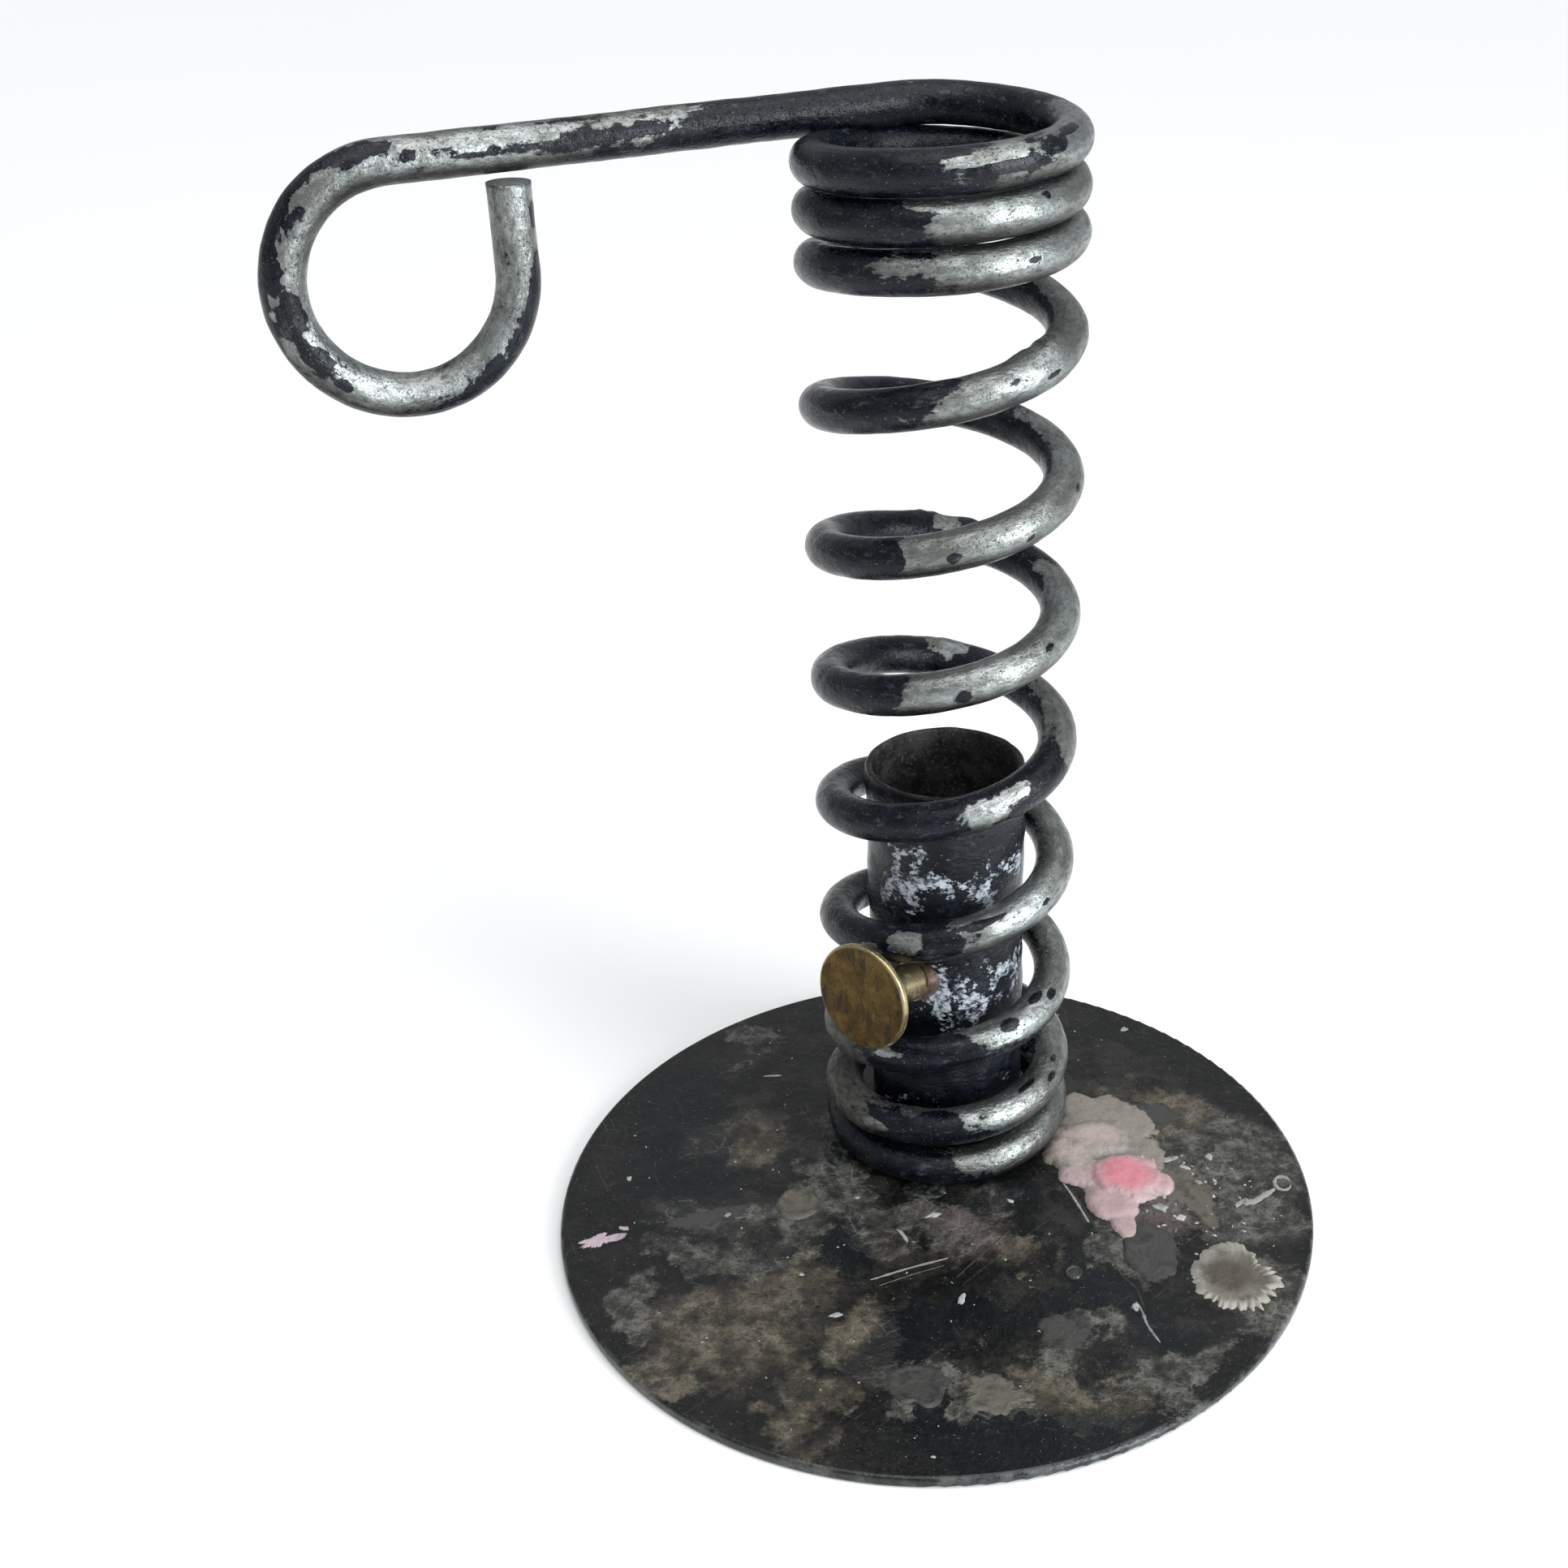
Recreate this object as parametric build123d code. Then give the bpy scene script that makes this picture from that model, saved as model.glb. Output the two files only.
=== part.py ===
from build123d import *
import math
import os

# Spiral candlestick: a round iron plate, one rod coiled into a tall spring with a hooked arm on top,
# and a candle cup that screws up and down inside the coil, turned by a brass knob between the turns.
# Millimetres, +Z up. The origin is the centre of the plate's underside.

# ---- driving dimensions ----
ROD_D = 6.0                    # iron rod of the coil, arm and hook
PLATE_D = 122.2                # round plate
PLATE_T = 1.9
PLATE_EDGE_R = 0.6             # rounded top and bottom edge of the plate
COIL_X = 2.0                   # the coil stands towards the back of the plate
COIL_Y = 19.5
COIL_R = 17.5                  # radius of the rod's centreline
OPEN_PITCH = 21.2              # rise per turn of the open turns
FOOT_PITCH = 8.2               # rise per turn of the first turn, just above the plate
TOP_PITCH = 6.3                # rise per turn of the closed turns on top
CUP_D = 25.0                   # candle cup, outside
CUP_WALL = 1.0
CUP_RIM_Z = 70.9
CUP_BOTTOM_Z = 7.2
FLOOR_T = 1.2                  # round floor under the cup
FLOOR_GAP = 0.05               # between the floor and the cup's lower edge
KNOB_HEAD_D = 17.2
KNOB_HEAD_T = 1.3
KNOB_NECK_D = 6.0
KNOB_WAIST_D = 5.0             # behind the head
COLLAR_D = 6.6                 # copper collar between the neck and the cup
COLLAR_END = 1.6               # how far the collar stands off the cup wall
STUD_D = 3.0                   # threaded stud, peened flush inside the cup
STUD_END = 8.0                 # its other end, inside the knob
KNOB_LENGTH = 14.4             # from the cup wall to the face of the head
HOOK_R = 15.3                  # centreline radius of the hook
ARM_LENGTH = 70.7              # straight arm, from the coil to above the hook's centre
ARM_AZIMUTH = 114.0            # where the arm leaves the coil, degrees from +X
ARM_DROP = 0.028               # fall of the arm per length
HOOK_LEG = 11.4                # straight end of the hook

# ---- the rise of the coil ----
# One turn is counted from the front of the coil, upwards. The pitch changes linearly between these.
FOOT_START = -0.27             # the cut lower end of the rod
TURN_PITCH = [
    (FOOT_START, 0.0),
    (-0.06, 0.0),
    (0.06, FOOT_PITCH),
    (0.85, FOOT_PITCH),
    (2.15, OPEN_PITCH),
    (7.5, OPEN_PITCH),
    (8.0, TOP_PITCH),
    (10.45, TOP_PITCH),
]
ARM_TURN = 10.0 + (ARM_AZIMUTH + 90.0) / 360.0
ARM_PITCH = -ARM_DROP * 2 * math.pi * COIL_R
TURN_PITCH.append((ARM_TURN, ARM_PITCH))
FOOT_Z = PLATE_T + ROD_D / 2   # the first turn lies on the plate


def pitch_at(turn):
    for (t0, p0), (t1, p1) in zip(TURN_PITCH, TURN_PITCH[1:]):
        if turn <= t1:
            return p0 + (p1 - p0) * (turn - t0) / (t1 - t0)
    return TURN_PITCH[-1][1]


def height_at(turn):
    z = FOOT_Z
    for (t0, p0), (t1, p1) in zip(TURN_PITCH, TURN_PITCH[1:]):
        if turn <= t1:
            return z + (p0 + pitch_at(turn)) / 2 * (turn - t0)
        z += (p0 + p1) / 2 * (t1 - t0)
    return z


def coil_angle(turn):
    return 2 * math.pi * turn - math.pi / 2


def coil_point(turn):
    a = coil_angle(turn)
    return Vector(COIL_X + COIL_R * math.cos(a), COIL_Y + COIL_R * math.sin(a), height_at(turn))


def coil_tangent(turn):
    a = coil_angle(turn)
    around = 2 * math.pi * COIL_R
    return Vector(-around * math.sin(a), around * math.cos(a), pitch_at(turn)).normalized()


PIECES_PER_TURN = 8


def coil_edge(turn_0, turn_1):
    # one smooth stretch of the coil; its handles give a circular arc seen from above
    p0 = coil_point(turn_0)
    p1 = coil_point(turn_1)
    t0 = coil_tangent(turn_0)
    t1 = coil_tangent(turn_1)
    sweep_angle = 2 * math.pi * (turn_1 - turn_0)
    handle = 4 / 3 * math.tan(sweep_angle / 4) * COIL_R
    h0 = t0 * (handle / math.hypot(t0.X, t0.Y))
    h1 = t1 * (handle / math.hypot(t1.X, t1.Y))
    return Edge.make_bezier(p0, p0 + h0, p1 - h1, p1)


# ---- the arm and the hook, in one upright plane ----
ARM_START = coil_point(ARM_TURN)
ARM_A = math.radians(ARM_AZIMUTH)
ARM_DIR = Vector(-math.sin(ARM_A), math.cos(ARM_A), 0)
UP = Vector(0, 0, 1)
ARM_FALL_A = math.atan(ARM_DROP)
ARM_END = ARM_START + ARM_DIR * ARM_LENGTH - UP * ARM_LENGTH * ARM_DROP
HOOK_CENTRE = (
    ARM_END
    - ARM_DIR * HOOK_R * math.sin(ARM_FALL_A)
    - UP * HOOK_R * math.cos(ARM_FALL_A)
)


def hook_point(angle):
    # angle 0 points along the arm, 90 degrees points up
    a = math.radians(angle)
    return HOOK_CENTRE + ARM_DIR * HOOK_R * math.cos(a) + UP * HOOK_R * math.sin(a)


def rod_path():
    count = math.ceil((ARM_TURN - FOOT_START) * PIECES_PER_TURN)
    step = (ARM_TURN - FOOT_START) / count
    turns = [FOOT_START + step * i for i in range(count + 1)]
    edges = [coil_edge(t0, t1) for t0, t1 in zip(turns, turns[1:])]
    start = 90 - math.degrees(ARM_FALL_A)
    edges.append(Edge.make_line(ARM_START, hook_point(start)))
    edges.append(Edge.make_three_point_arc(hook_point(start), hook_point(0), hook_point(-90)))
    edges.append(Edge.make_three_point_arc(hook_point(-90), hook_point(-135), hook_point(-180)))
    tip = hook_point(-180) + UP * HOOK_LEG
    edges.append(Edge.make_line(hook_point(-180), tip))
    return Wire(edges)


def make_spiral_rod():
    path = rod_path()
    section = Plane(coil_point(FOOT_START), z_dir=coil_tangent(FOOT_START)) * Circle(ROD_D / 2)
    return Solid.sweep(section.face(), path, is_frenet=True, transition=Transition.TRANSFORMED)


def make_base_plate():
    plate = Pos(0, 0, PLATE_T / 2) * Cylinder(PLATE_D / 2, PLATE_T)
    return fillet(plate.edges().filter_by(GeomType.CIRCLE), PLATE_EDGE_R)


# ---- weld beads between the first turn and the plate ----
WELD_TURNS = {"weld_bead_left": -0.17, "weld_bead_front": -0.03}
WELD_LENGTH = 7.0
WELD_WIDTH = 3.6
WELD_HEIGHT = 2.2


def make_weld(turn, rod):
    # a low bead in the outer corner between the first turn and the plate
    a = coil_angle(turn)
    sweep_deg = math.degrees(WELD_LENGTH / (COIL_R + ROD_D / 2))
    inner = COIL_R + ROD_D / 6
    outer = inner + WELD_WIDTH
    section = make_face(
        Polyline((inner, PLATE_T), (outer, PLATE_T), (inner, PLATE_T + WELD_HEIGHT), close=True)
    )
    bead = revolve(Plane.XZ * section, axis=Axis.Z, revolution_arc=sweep_deg)
    bead = Pos(COIL_X, COIL_Y, 0) * Rot(0, 0, math.degrees(a) - sweep_deg / 2) * bead
    return bead - rod


# ---- the candle cup ----
CUP_HEIGHT = CUP_RIM_Z - CUP_BOTTOM_Z
CUP_BORE_R = CUP_D / 2 - CUP_WALL
ON_AXIS = Pos(COIL_X, COIL_Y, 0)


def tube(outer_r, inner_r, z0, z1):
    middle = Pos(0, 0, (z0 + z1) / 2)
    solid = middle * Cylinder(outer_r, z1 - z0)
    if inner_r > 0:
        solid -= middle * Cylinder(inner_r, 2 * (z1 - z0))
    return solid


# ---- the knob, on its own line through the cup wall ----
KNOB_ROOT_AZIMUTH = -112.0     # where the knob meets the cup wall
KNOB_ROOT_Z = 38.0
KNOB_AZIMUTH = -128.5          # the way its neck points, leaning off the radius
KNOB_TILT = 15.3               # and upwards
HEAD_AZIMUTH = -128.4          # the head sits a little crooked on the neck
HEAD_TILT = 5.6


def direction(azimuth, tilt):
    a = math.radians(azimuth)
    t = math.radians(tilt)
    return Vector(math.cos(a) * math.cos(t), math.sin(a) * math.cos(t), math.sin(t))


def knob_line():
    root_a = math.radians(KNOB_ROOT_AZIMUTH)
    root = Vector(
        COIL_X + CUP_D / 2 * math.cos(root_a),
        COIL_Y + CUP_D / 2 * math.sin(root_a),
        KNOB_ROOT_Z,
    )
    return Plane(root, z_dir=direction(KNOB_AZIMUTH, KNOB_TILT))


KNOB_PLANE = knob_line()
HEAD_CENTRE = KNOB_PLANE.origin + KNOB_PLANE.z_dir * KNOB_LENGTH
HEAD_PLANE = Plane(HEAD_CENTRE, z_dir=direction(HEAD_AZIMUTH, HEAD_TILT))


def on_knob_line(radius, start, end):
    return KNOB_PLANE * Pos(0, 0, (start + end) / 2) * Cylinder(radius, end - start)


def make_candle_cup():
    wall = tube(CUP_D / 2, CUP_BORE_R, CUP_BOTTOM_Z, CUP_RIM_Z)
    return ON_AXIS * wall - on_knob_line(STUD_D / 2, -6, 2)


def make_cup_floor():
    top = CUP_BOTTOM_Z - FLOOR_GAP
    return ON_AXIS * Pos(0, 0, top - FLOOR_T / 2) * Cylinder(CUP_D / 2, FLOOR_T)


def make_knob():
    neck = KNOB_NECK_D / 2
    waist = KNOB_WAIST_D / 2
    neck_end = KNOB_LENGTH - KNOB_HEAD_T / 2
    profile = make_face(
        [
            Line((0, COLLAR_END), (neck, COLLAR_END)),
            Spline((neck, COLLAR_END), (waist, neck_end), tangents=((0, 1), (-0.3, 1))),
            Line((waist, neck_end), (0, neck_end)),
            Line((0, neck_end), (0, COLLAR_END)),
        ]
    )
    neck_solid = KNOB_PLANE * revolve(Plane.XZ * profile, axis=Axis.Z)
    head = HEAD_PLANE * Pos(0, 0, -KNOB_HEAD_T / 2) * Cylinder(KNOB_HEAD_D / 2, KNOB_HEAD_T)
    head = fillet(head.edges().filter_by(GeomType.CIRCLE), KNOB_HEAD_T * 0.4)
    return head + neck_solid - on_knob_line(STUD_D / 2, 0, STUD_END)


def make_knob_collar():
    # saddled onto the round wall of the cup
    collar = on_knob_line(COLLAR_D / 2, -3, COLLAR_END)
    whole_cup = ON_AXIS * tube(CUP_D / 2, 0, CUP_BOTTOM_Z, CUP_RIM_Z)
    return collar - whole_cup - on_knob_line(STUD_D / 2, -6, COLLAR_END + 1)


def make_knob_stud():
    bore = ON_AXIS * tube(CUP_BORE_R, 0, CUP_BOTTOM_Z, CUP_RIM_Z)
    return on_knob_line(STUD_D / 2, -6, STUD_END) - bore


def main():
    os.makedirs("parts", exist_ok=True)
    rod = make_spiral_rod()
    nodes = {
        "base_plate": make_base_plate(),
        "spiral_rod": rod,
        "candle_cup": make_candle_cup(),
        "cup_floor": make_cup_floor(),
        "knob": make_knob(),
        "knob_collar": make_knob_collar(),
        "knob_stud": make_knob_stud(),
    }
    for name, turn in WELD_TURNS.items():
        nodes[name] = make_weld(turn, rod)
    for name, solid in nodes.items():
        export_step(solid, f"parts/{name}.step")


main()
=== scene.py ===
import math
import random

import bmesh
import bpy
import numpy as np
from mathutils import Matrix, Vector, noise


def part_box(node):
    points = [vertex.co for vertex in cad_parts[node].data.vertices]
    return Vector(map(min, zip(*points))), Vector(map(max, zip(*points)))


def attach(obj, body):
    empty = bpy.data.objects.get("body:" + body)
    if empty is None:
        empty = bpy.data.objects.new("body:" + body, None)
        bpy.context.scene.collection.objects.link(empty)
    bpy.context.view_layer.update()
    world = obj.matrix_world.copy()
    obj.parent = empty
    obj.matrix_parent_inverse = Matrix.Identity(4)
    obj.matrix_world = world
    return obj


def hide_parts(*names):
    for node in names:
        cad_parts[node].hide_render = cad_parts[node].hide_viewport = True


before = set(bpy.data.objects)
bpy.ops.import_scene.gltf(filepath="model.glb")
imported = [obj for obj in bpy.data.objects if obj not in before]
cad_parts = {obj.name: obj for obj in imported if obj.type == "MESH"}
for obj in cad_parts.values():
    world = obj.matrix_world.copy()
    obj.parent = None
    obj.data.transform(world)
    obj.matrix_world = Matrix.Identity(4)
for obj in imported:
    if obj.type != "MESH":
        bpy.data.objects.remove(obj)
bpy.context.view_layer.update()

MM = 0.001

# ---- sizes, from the frame ----
cup_low, cup_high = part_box("candle_cup")
plate_low, plate_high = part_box("base_plate")
rod_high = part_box("spiral_rod")[1]
AXIS = (cup_low + cup_high) / 2
PLATE_TOP = plate_high.z
PLATE_R = (plate_high.x - plate_low.x) / 2
ROD_R = 3.0 * MM
COIL_R = rod_high.x - AXIS.x - ROD_R
CUP_R = (cup_high.x - cup_low.x) / 2
CUP_WALL = 1.0 * MM

# ---- the rod's centreline, the same as the part's ----
FOOT_PITCH = 8.2 * MM
OPEN_PITCH = 21.2 * MM
TOP_PITCH = 6.3 * MM
ARM_DROP = 0.028
ARM_AZIMUTH = math.radians(114.0)
ARM_LENGTH = 70.7 * MM
HOOK_R = 15.3 * MM
HOOK_LEG = 11.4 * MM
FOOT_START = -0.27
ARM_TURN = 10.0 + (math.degrees(ARM_AZIMUTH) + 90.0) / 360.0
TURN_PITCH = [
    (FOOT_START, 0.0),
    (-0.06, 0.0),
    (0.06, FOOT_PITCH),
    (0.85, FOOT_PITCH),
    (2.15, OPEN_PITCH),
    (7.5, OPEN_PITCH),
    (8.0, TOP_PITCH),
    (10.45, TOP_PITCH),
    (ARM_TURN, -ARM_DROP * 2 * math.pi * COIL_R),
]


def height_at(turn):
    z = PLATE_TOP + ROD_R
    for (t0, p0), (t1, p1) in zip(TURN_PITCH, TURN_PITCH[1:]):
        if turn <= t1:
            pitch = p0 + (p1 - p0) * (turn - t0) / (t1 - t0)
            return z + (p0 + pitch) / 2 * (turn - t0)
        z += (p0 + p1) / 2 * (t1 - t0)
    return z


def coil_point(turn):
    a = 2 * math.pi * turn - math.pi / 2
    return Vector((AXIS.x + COIL_R * math.cos(a), AXIS.y + COIL_R * math.sin(a), height_at(turn)))


ARM_START = coil_point(ARM_TURN)
ARM_DIR = Vector((-math.sin(ARM_AZIMUTH), math.cos(ARM_AZIMUTH), 0))
UP = Vector((0, 0, 1))
ARM_FALL = math.atan(ARM_DROP)
ARM_END = ARM_START + ARM_DIR * ARM_LENGTH - UP * ARM_LENGTH * ARM_DROP
HOOK_CENTRE = ARM_END - ARM_DIR * HOOK_R * math.sin(ARM_FALL) - UP * HOOK_R * math.cos(ARM_FALL)


def hook_point(angle):
    return HOOK_CENTRE + ARM_DIR * HOOK_R * math.cos(angle) + UP * HOOK_R * math.sin(angle)


# ---- the knob's head, the same as the part's ----
HEAD_R = 8.6 * MM
KNOB_LENGTH = 14.4 * MM
KNOB_ROOT_AZIMUTH = -112.0
KNOB_ROOT_Z = 38.0 * MM
KNOB_AZIMUTH = -128.5
KNOB_TILT = 15.3
HEAD_AZIMUTH = -128.4
HEAD_TILT = 5.6


def direction(azimuth, tilt):
    a, t = math.radians(azimuth), math.radians(tilt)
    return Vector((math.cos(a) * math.cos(t), math.sin(a) * math.cos(t), math.sin(t)))


KNOB_ROOT = Vector((AXIS.x, AXIS.y, KNOB_ROOT_Z)) + direction(KNOB_ROOT_AZIMUTH, 0) * CUP_R
HEAD_CENTRE = KNOB_ROOT + direction(KNOB_AZIMUTH, KNOB_TILT) * KNOB_LENGTH
HEAD_AXIS = direction(HEAD_AZIMUTH, HEAD_TILT)


# ---- small helpers ----
def smooth(x, lo, hi):
    t = min(max((x - lo) / (hi - lo), 0.0), 1.0)
    return t * t * (3 - 2 * t)


def new_object(name, verts, faces, material, body):
    mesh = bpy.data.meshes.new(name)
    mesh.from_pydata([tuple(v) for v in verts], [], faces)
    mesh.validate()
    mesh.polygons.foreach_set("use_smooth", [True] * len(mesh.polygons))
    obj = bpy.data.objects.new(name, mesh)
    bpy.context.collection.objects.link(obj)
    mesh.materials.append(material)
    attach(obj, body)
    return obj


def band_faces(first, last, around):
    """Faces between neighbouring rings of vertices, from the first ring to the last."""
    faces = []
    for i in range(first, last):
        for k in range(around):
            q = (k + 1) % around
            faces.append((i * around + k, (i + 1) * around + k, (i + 1) * around + q, i * around + q))
    return faces


def keep_used(verts, faces, *values):
    """Drops the vertices that no face uses, with their values."""
    used = sorted({corner for face in faces for corner in face})
    index = {old: new for new, old in enumerate(used)}
    faces = [tuple(index[corner] for corner in face) for face in faces]
    return ([verts[i] for i in used], faces, *[[value[i] for i in used] for value in values])


def set_values(obj, **lists):
    """Stores a number per vertex under each name, for the material to read."""
    for name, values in lists.items():
        obj.data.attributes.new(name, "FLOAT", "POINT").data.foreach_set("value", values)


def face_outwards(obj):
    bm = bmesh.new()
    bm.from_mesh(obj.data)
    bmesh.ops.recalc_face_normals(bm, faces=bm.faces)
    bm.to_mesh(obj.data)
    bm.free()


class Nodes:
    """A short way to build a material's node tree."""

    def __init__(self, name):
        self.mat = bpy.data.materials.new(name)
        self.mat.use_nodes = True
        self.tree = self.mat.node_tree
        self.bsdf = self.tree.nodes["Principled BSDF"]
        self.coord = self.tree.nodes.new("ShaderNodeTexCoord").outputs["Object"]

    def put(self, socket, value):
        if isinstance(value, bpy.types.NodeSocket):
            self.tree.links.new(value, socket)
        elif value is not None:
            socket.default_value = value

    def math(self, op, a, b=None):
        n = self.tree.nodes.new("ShaderNodeMath")
        n.operation = op
        self.put(n.inputs[0], a)
        self.put(n.inputs[1], b)
        return n.outputs[0]

    def times(self, a, b):
        return self.math("MULTIPLY", a, b)

    def plus(self, a, b):
        return self.math("ADD", a, b)

    def minus(self, a, b):
        return self.math("SUBTRACT", a, b)

    def place(self, offset, stretch=(1, 1, 1)):
        mapping = self.tree.nodes.new("ShaderNodeMapping")
        self.put(mapping.inputs["Vector"], self.coord)
        mapping.inputs["Location"].default_value = offset
        mapping.inputs["Scale"].default_value = stretch
        return mapping.outputs[0]

    def turned(self, coord, angle):
        """The coordinates turned about z by an angle."""
        n = self.tree.nodes.new("ShaderNodeVectorRotate")
        n.rotation_type = "Z_AXIS"
        self.put(n.inputs["Vector"], coord)
        n.inputs["Angle"].default_value = angle
        return n.outputs[0]

    def noise(self, scale, detail=4.0, rough=0.6, offset=(0, 0, 0), stretch=(1, 1, 1)):
        n = self.tree.nodes.new("ShaderNodeTexNoise")
        self.put(n.inputs["Vector"], self.place(offset, stretch))
        n.inputs["Scale"].default_value = scale
        n.inputs["Detail"].default_value = detail
        n.inputs["Roughness"].default_value = rough
        return n.outputs["Fac"]

    def cells(self, scale, offset, stretch=(1, 1, 1)):
        """Distance to the border between two cells."""
        n = self.tree.nodes.new("ShaderNodeTexVoronoi")
        n.feature = "DISTANCE_TO_EDGE"
        self.put(n.inputs["Vector"], self.place(offset, stretch))
        n.inputs["Scale"].default_value = scale
        return n.outputs["Distance"]

    def ramp(self, value, lo, hi, out_lo=0.0, out_hi=1.0):
        n = self.tree.nodes.new("ShaderNodeMapRange")
        n.interpolation_type = "SMOOTHSTEP"
        self.put(n.inputs["Value"], value)
        n.inputs["From Min"].default_value = lo
        n.inputs["From Max"].default_value = hi
        n.inputs["To Min"].default_value = out_lo
        n.inputs["To Max"].default_value = out_hi
        return n.outputs[0]

    def mix(self, fac, a, b):
        n = self.tree.nodes.new("ShaderNodeMix")
        n.data_type = "RGBA"
        self.put(n.inputs[0], fac)
        self.put(n.inputs[6], a)
        self.put(n.inputs[7], b)
        return n.outputs[2]

    def blend(self, fac, a, b):
        n = self.tree.nodes.new("ShaderNodeMix")
        n.data_type = "FLOAT"
        self.put(n.inputs[0], fac)
        self.put(n.inputs[2], a)
        self.put(n.inputs[3], b)
        return n.outputs[0]

    def attribute(self, name, output="Fac"):
        n = self.tree.nodes.new("ShaderNodeAttribute")
        n.attribute_name = name
        return n.outputs[output]

    def vector(self, op, a, b=None, output=0):
        n = self.tree.nodes.new("ShaderNodeVectorMath")
        n.operation = op
        self.put(n.inputs[0], a)
        self.put(n.inputs[1], b)
        return n.outputs[output]

    def bump(self, height, distance):
        n = self.tree.nodes.new("ShaderNodeBump")
        n.inputs["Strength"].default_value = 1.0
        n.inputs["Distance"].default_value = distance
        self.put(n.inputs["Height"], height)
        return n.outputs[0]

    def finish(self, color, rough, metal=0.0, normal=None, **fixed):
        self.put(self.bsdf.inputs["Base Color"], color)
        self.put(self.bsdf.inputs["Roughness"], rough)
        self.put(self.bsdf.inputs["Metallic"], metal)
        if normal is not None:
            self.put(self.bsdf.inputs["Normal"], normal)
        for name, value in fixed.items():
            self.bsdf.inputs[name.replace("_", " ")].default_value = value
        return self.mat


def rgb(r, g, b):
    return (r, g, b, 1.0)


# ---- materials ----
def rod_material():
    """Worn pewter-coloured steel under chipped blue-black paint. The grain runs along the rod."""
    n = Nodes("worn_rod")
    n.coord = n.attribute("wire", "Vector")
    cover, wax, low = n.attribute("paint"), n.attribute("wax"), n.attribute("low")
    streak = n.noise(330, 6, 0.68, stretch=(0.30, 1, 1))
    blot = n.noise(480, 5, 0.66, (0.3, 0.1, 0.2), (0.7, 1, 1))
    fine = n.noise(2100, 4, 0.65, (0.3, 0.1, 0), (0.6, 1, 1))
    grain = n.noise(1300, 5, 0.7, (0.2, 0.8, 0.6), (0.45, 1, 1))
    tone = n.noise(170, 4, 0.6, (0.5, 0.5, 0.1), (0.6, 1, 1))
    edge = n.plus(n.times(streak, 0.45), n.times(blot, 0.35))
    edge = n.plus(edge, n.times(fine, 0.20))
    level = n.minus(cover, edge)
    black = n.ramp(level, -0.012, 0.014)
    rim = n.ramp(n.math("ABSOLUTE", n.plus(level, 0.02)), 0.0, 0.05, 1.0, 0.0)
    pit = n.ramp(n.noise(2700, 3, 0.6, (0.9, 0, 0.4)), 0.60, 0.68)
    metal = n.mix(n.ramp(tone, 0.36, 0.64), rgb(0.225, 0.238, 0.228), rgb(0.400, 0.428, 0.425))
    metal = n.mix(n.ramp(grain, 0.40, 0.66, 0.0, 0.70), metal, rgb(0.105, 0.104, 0.090))
    # Painted shade: the bare metal turns dark where the rod faces down
    metal = n.mix(n.times(low, 0.90), metal, rgb(0.034, 0.033, 0.028))
    metal = n.mix(n.times(pit, 0.8), metal, rgb(0.025, 0.024, 0.025))
    metal = n.mix(n.times(rim, 0.40), metal, rgb(0.060, 0.058, 0.055))
    paint = n.mix(n.ramp(blot, 0.42, 0.66), rgb(0.0009, 0.0018, 0.0046), rgb(0.0058, 0.0086, 0.0160))
    # Pale bluish streaks along the paint: a dull film, and also a painted sheen standing in for the
    # lacquer's streaky highlights
    haze_and_sheen = n.ramp(n.noise(900, 6, 0.75, (0.1, 0.4, 0.9), (0.35, 1, 1)), 0.56, 0.68)
    paint = n.mix(n.times(haze_and_sheen, 0.42), paint, rgb(0.095, 0.108, 0.122))
    speck = n.ramp(n.noise(2600, 3, 0.6, (0, 0.7, 0.2)), 0.66, 0.70)
    paint = n.mix(n.times(speck, 0.50), paint, rgb(0.24, 0.245, 0.24))
    color = n.mix(black, metal, paint)
    waxed = n.ramp(n.minus(wax, n.noise(520, 5, 0.66, (0.7, 0.2, 0.1), (0.6, 1, 1))), -0.05, 0.06)
    wax_color = n.mix(n.ramp(grain, 0.36, 0.62), rgb(0.046, 0.040, 0.035), rgb(0.150, 0.142, 0.128))
    color = n.mix(n.times(waxed, 0.66), color, wax_color)
    bare = n.minus(1.0, n.math("MAXIMUM", black, waxed))
    bare = n.times(bare, n.blend(pit, 1.0, 0.3))
    rough = n.blend(black, n.ramp(grain, 0.3, 0.7, 0.24, 0.44), n.ramp(blot, 0.3, 0.7, 0.08, 0.30))
    rough = n.blend(waxed, rough, 0.46)
    height = n.plus(n.times(black, 0.55), n.times(grain, 0.55))
    height = n.minus(height, n.times(pit, 0.35))
    height = n.plus(height, n.times(waxed, 0.7))
    height = n.plus(height, n.times(blot, 1.2))
    bump = n.bump(height, 0.00022)
    return n.finish(color, rough, n.times(bare, 0.95), bump, Specular_IOR_Level=0.27)


# Each stain: x, y, half width, half depth (mm on the plate), turn in degrees.
FILMS = [
    (-36, -6.6, 13, 4, 4), (-32, -17, 13, 3.6, -3), (-3, -44, 6, 5, 10), (7, -46, 6, 3.4, -20),
    (48, 3, 12, 17, 0), (20, -33, 6, 4.6, 30), (-34, 42, 3.6, 3.8, 0), (-22, -3.4, 4.6, 5, 0),
    (-46, -30, 5, 7, 0), (30, -14, 6, 7, 20), (50, -27, 7, 8, 0), (-2, -8, 14, 7, 0),
    (36, -42, 8, 5, 30), (-15, 8, 7, 11, 20),
]
RUSTS = [
    (-31, -33, 12, 11, 0), (-18, -48, 5, 10, 5), (-33, 14, 6.5, 7, 20), (38, 20, 8, 7, 0),
    (20, -46, 8, 5.4, -20), (-10, -33, 6, 5, 0), (-25, -22, 9, 4, 0), (30, -4, 4, 5, 0),
    (-42, -40, 5, 4, 40), (14.7, -15, 5, 4.6, 0),
]
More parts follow.
